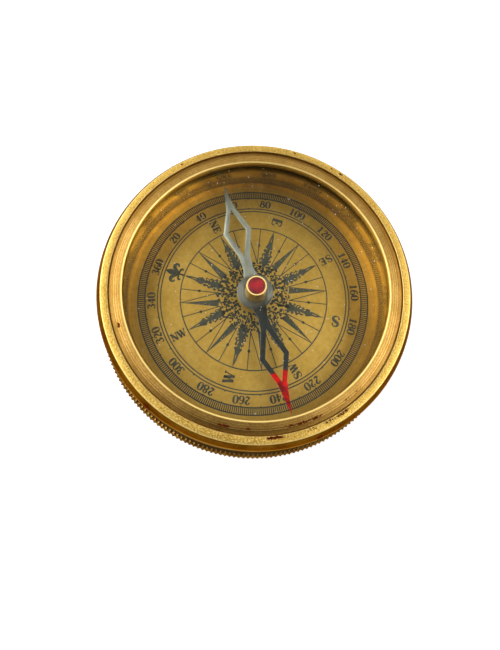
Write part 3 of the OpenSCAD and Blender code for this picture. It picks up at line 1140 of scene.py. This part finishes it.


# The bezel
# A separate brass ring that screws into the mouth of the case and holds the
# crystal. Its face falls away from a lip with a painted highlight and still
# shows the tool's rings.
LIP_W = 0.32 * MM
LIP_DROP = 0.16 * MM
BEZEL_FALL = 0.45 * MM
GROOVE_W = 0.2 * MM
FACE_R = bezel_high.x + SCREW_FIT - GROOVE_W
SKIRT_T = 0.7 * MM
TOOL_RINGS = 6
TOOL_DEPTH = 0.012 * MM
TOOL_STEPS = TOOL_RINGS * 4
FACE_CROWN = 0.07 * MM
BEZEL_MARK_R = 30.75 * MM
BEZEL_MARKS = ((-35.4, 0.8, 0.15), (-94, 2.2, 0.12), (-103, 1.2, 0.1), (-118.5, 2.2, 0.1),
               (-123, 2.4, 0.14), (-128.5, 3.0, 0.12), (-143, 2.6, 0.02), (-148, 2.2, 0.0))


@material
def bezel_brass(tree):
    skin = clouded(tree, (208, 166, 90), (160, 123, 56), size=4, amount=0.85)
    rings = lathed(tree, pitch=0.27, wander=0.35)
    specks = grained(tree, 0.3)
    lines = ranged(tree, rings, 0.47, 0.6, last=0.7)
    flecks = ranged(tree, specks["Height"], 0.36, 0.52, 0.6, 0.0)
    shade = ring_share(tree, (FACE_R - 0.45 * MM, 1.1 * MM))
    # A painted highlight on the lip.
    painted_lip_highlight = ring_share(tree, (LIP_R + LIP_W / 2, LIP_W * 1.4))
    # Painted shade: darker from 0.8 mm below the top downwards, on the lip's inner wall.
    painted_low_wall_shade = height_share(tree, bezel_high.z - 0.8 * MM, bezel_high.z - 1.2 * MM)
    marks = rim_marks(tree, BEZEL_MARKS, BEZEL_MARK_R, 0.5 * MM)
    brass = layered(tree, skin["Color"], (lines, (120, 84, 34)), (flecks, (140, 98, 38)),
                    (shade, (112, 78, 30), 0.4), (painted_lip_highlight, (250, 218, 132)),
                    (painted_low_wall_shade, (74, 48, 16), 0.6), (marks, (92, 30, 10)))
    relief = bumped(tree, specks["Height"], 0.03, 0.6, bumped(tree, rings, 0.05, 0.8))
    metal(tree, brass, calc(tree, "ADD", 0.38, times(tree, marks, 0.3)), relief, STREAKS,
          glance=BROWN_GLANCE)


def build_bezel():
    face_z = bezel_high.z - BEZEL_FALL
    lip_edge_r = LIP_R + LIP_W
    crystal_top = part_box("crystal")[1].z
    skirt_in_r = bezel_high.x - SKIRT_T
    face = []
    for k in range(1, TOOL_STEPS):
        t = k / TOOL_STEPS
        dip = TOOL_DEPTH * (0.5 - 0.5 * math.cos(math.tau * t * TOOL_RINGS))
        rise = FACE_CROWN * math.sin(math.pi * t)
        face.append((FACE_R + (lip_edge_r - FACE_R) * t,
                     face_z + (bezel_high.z - face_z) * t + rise - dip))
    outline = eased([
        (LIP_R, crystal_top), (skirt_in_r, crystal_top), (skirt_in_r, bezel_low.z),
        (bezel_high.x, bezel_low.z, EDGE_EASE), (bezel_high.x, face_z - GROOVE_W),
        (FACE_R, face_z - GROOVE_W / 2), (FACE_R, face_z, EDGE_EASE / 2)] + face + [
        (lip_edge_r, bezel_high.z, EDGE_EASE / 2), (LIP_R, bezel_high.z - LIP_DROP)])
    piece = turned("bezel_turning", outline, bezel_brass, FINE_STEPS)
    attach(piece, "housing")
    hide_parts("bezel_ring")


build_bezel()


# The needle
# A flat steel blade with a round middle and two open arms. Its north arm is
# darker and ends in red paint that has worn thin; a collar backs it.
NEEDLE_HEADING = 237.3
PAINTED_R = 29.0 * MM
PLAIN_R = 28.4 * MM
DISC_R = 4.25 * MM
ROOT_W = 3.3 * MM
NECK_W, NECK_R = 2.35 * MM, 6.1 * MM
FORK_W, FORK_R = 2.7 * MM, 9.2 * MM
ARM_W, ARM_R = 7.0 * MM, 15.7 * MM
SLOT_W, SLOT_OUT = 4.4 * MM, 21.7 * MM
SPIKE_W = 2.3 * MM
STEM_R = 2.12 * MM
BLADE_EASE = 0.07 * MM
PAINT_FROM = 19.5 * MM
SAME_POINT = 1e-7


@material
def needle_steel(tree):
    place = node(tree, "ShaderNodeTexCoord").outputs
    ahead = on_dial(NEEDLE_HEADING, 0, 1)
    along = node(tree, "ShaderNodeVectorMath", {
        0: place["Object"], 1: (ahead.x, ahead.y, 0)},
        operation="DOT_PRODUCT").outputs["Value"]
    dark = ranged(tree, along, 1.5 * MM, 4.2 * MM)
    disc = ranged(tree, along, -4.4 * MM, -3.7 * MM)
    bright = clouded(tree, (172, 174, 158), (134, 136, 120), size=3, amount=0.6)
    black = clouded(tree, (54, 56, 52), (32, 34, 32), size=1.2, amount=0.9)
    rings = lathed(tree, pitch=0.3, wander=0.3)
    worked = mixed(tree, rings, (82, 84, 76), (142, 142, 128))
    # The blade's bevels are lighter: bare steel at the edges, and partly a painted highlight.
    facing = calc(tree, "ABSOLUTE", split(tree, place["Normal"])["Z"])
    edge = ranged(tree, facing, 0.97, 0.6)
    steel = layered(tree, bright["Color"], (disc, worked), (dark, black["Color"]),
                    (edge, (186, 190, 182), 0.6))
    ragged = noise(tree, place["Object"], 1100.0, 4.0)
    shore = calc(tree, "ADD", along, times(tree, ragged, 0.5 * MM))
    paint = ranged(tree, shore, PAINT_FROM, PAINT_FROM + 0.1 * MM)
    red = clouded(tree, (198, 0, 0), (136, 0, 2), size=1.6, amount=0.8)
    scuffs = noise(tree, place["Object"], 480.0, 4.0, 0.7)
    wear_and_painted_highlight = ranged(tree, scuffs, 0.52, 0.64, last=0.85)
    color = mixed(tree, paint, steel, mixed(tree, wear_and_painted_highlight, red["Color"], (62, 8, 12)))
    bare = calc(tree, "SUBTRACT", 1.0, paint)
    rough = calc(tree, "SUBTRACT", ranged(tree, dark, first=0.34, last=0.5),
                 times(tree, paint, 0.2))
    metal(tree, color, rough, bumped(tree, grained(tree, 0.16)["Height"], 0.03, 0.5),
          metallic=times(tree, bare, 0.85), specular=0.12)


@material
def collar_steel(tree):
    skin = clouded(tree, (120, 122, 118), (80, 82, 80), size=1.2, amount=0.7)
    rings = lathed(tree, pitch=0.1, wander=0.2)
    metal(tree, skin["Color"], 0.4, bumped(tree, rings, 0.01, 0.6))


def build_needle():
    blade_low, blade_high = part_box("needle_blade")
    start = math.asin(ROOT_W / 2 / DISC_R)

    def arm(hand, tip_r):
        half = [(DISC_R * math.cos(start), ROOT_W / 2), (NECK_R, NECK_W / 2),
                (FORK_R, FORK_W / 2), (ARM_R, ARM_W / 2), (SLOT_OUT, SPIKE_W / 2)]
        whole = [(x, -y) for x, y in half] + [(tip_r, 0)] + half[::-1]
        return [(hand * x, hand * y) for x, y in whole]

    outline = (arm(1, PAINTED_R) + arc(DISC_R, start, math.pi - start, 24)[1:-1]
               + arm(-1, PLAIN_R) + arc(DISC_R, math.pi + start, math.tau - start, 24)[1:-1])
    slot_outline = [(FORK_R, 0), (ARM_R, -SLOT_W / 2), (SLOT_OUT, 0), (ARM_R, SLOT_W / 2)]
    curve = bpy.data.curves.new("needle_curve", "CURVE")
    curve.dimensions = "2D"
    curve.fill_mode = "BOTH"
    curve.extrude = (blade_high.z - blade_low.z) / 2 - BLADE_EASE
    curve.bevel_depth = BLADE_EASE
    curve.bevel_resolution = 1
    curve.offset = -BLADE_EASE
    for loop in (outline, slot_outline, [(-x, -y) for x, y in slot_outline],
                 arc(STEM_R)[:-1]):
        spline = curve.splines.new("POLY")
        spline.points.add(len(loop) - 1)
        for point, (x, y) in zip(spline.points, loop):
            point.co = (x, y, 0, 1)
        spline.use_cyclic_u = True
    data = evaluated(placed("needle_shape", curve))
    turn = Matrix.Rotation(math.radians(90 - NEEDLE_HEADING), 4, "Z")
    data.transform(Matrix.Translation((0, 0, (blade_low.z + blade_high.z) / 2)) @ turn)
    bm = bmesh.new()
    bm.from_mesh(data)
    bmesh.ops.remove_doubles(bm, verts=bm.verts, dist=SAME_POINT)
    blade = finish_mesh("needle_steelwork", bm, needle_steel, crease=50)
    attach(blade, "needle")
    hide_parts("needle_blade")


build_needle()
dress("needle_collar", collar_steel)


# The cap and its jewel
# A turned brass tube riveted through the needle. A red stone is set in its top
# and rides on the steel point; the thin brass edge round it has a painted highlight.
CAP_BORE_R = 1.7 * MM
CAP_TAPER = 0.26 * MM
CAP_EASE = 0.09 * MM
CAP_STEPS = 96
JEWEL_FIT = 0.02 * MM
JEWEL_CUP = 0.45 * MM
JEWEL_CROWN = 0.08 * MM
cap_low, cap_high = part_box("needle_cap")
jewel_low, jewel_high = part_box("cap_jewel")


@material
def cap_brass(tree):
    skin = clouded(tree, (240, 198, 90), (202, 152, 46), size=2.5, amount=0.75)
    rings = lathed(tree, pitch=0.2, wander=0.3)
    # A painted highlight on the top edge round the stone.
    edge = height_share(tree, cap_high.z - 0.12 * MM, cap_high.z - 0.02 * MM)
    brass = mixed(tree, edge, skin["Color"], (248, 216, 136))
    metal(tree, brass, ranged(tree, edge, first=0.26, last=0.5),
          bumped(tree, rings, 0.015, 0.3), 0.3, metallic=0.8)


@material
def jewel_red(tree):
    veins = node(tree, "ShaderNodeTexVoronoi", {"Vector": own_place(tree), "Scale": 560.0},
                 feature="SMOOTH_F1")
    tone = ranged(tree, veins.outputs["Distance"], 0.1, 0.6)
    stone = mixed(tree, tone, (160, 12, 26), (88, 8, 16))
    specks_and_painted_glints = grained(tree, 0.22)["Height"]
    stone = mixed(tree, ranged(tree, specks_and_painted_glints, 0.66, 0.7, last=0.8), stone, (226, 150, 70))
    surface(tree, {"Base Color": stone, "Roughness": 0.28, "Coat Weight": 0.6,
                   "Coat Roughness": 0.12, "Normal": bumped(tree, specks_and_painted_glints, 0.01, 0.3)})


def build_cap():
    blade_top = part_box("needle_blade")[1].z
    jewel_r = jewel_high.x
    stem_r = STEM_R - JEWEL_FIT
    top_r = cap_high.x - CAP_TAPER
    seat_r = jewel_r + JEWEL_FIT
    cap = turned("cap_turning", eased([
        (CAP_BORE_R, cap_low.z), (stem_r, cap_low.z, CAP_EASE), (stem_r, blade_top),
        (cap_high.x, blade_top, CAP_EASE), (top_r, cap_high.z, CAP_EASE),
        (seat_r, cap_high.z, CAP_EASE / 2), (seat_r, jewel_low.z), (CAP_BORE_R, jewel_low.z)]),
        cap_brass, CAP_STEPS)
    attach(cap, "needle")
    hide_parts("needle_cap")
    crown = [(jewel_r * across, jewel_high.z - JEWEL_CROWN * (1 - up))
             for across, up in arc(1.0, 0.0, math.pi / 2, 8)[:-1]]
    stone = turned("jewel_stone", eased([
        (0, jewel_low.z + JEWEL_CUP), (JEWEL_CUP, jewel_low.z),
        (jewel_r, jewel_low.z, CAP_EASE)] + crown + [(0, jewel_high.z)]),
        jewel_red, CAP_STEPS)
    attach(stone, "needle")
    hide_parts("cap_jewel")


build_cap()
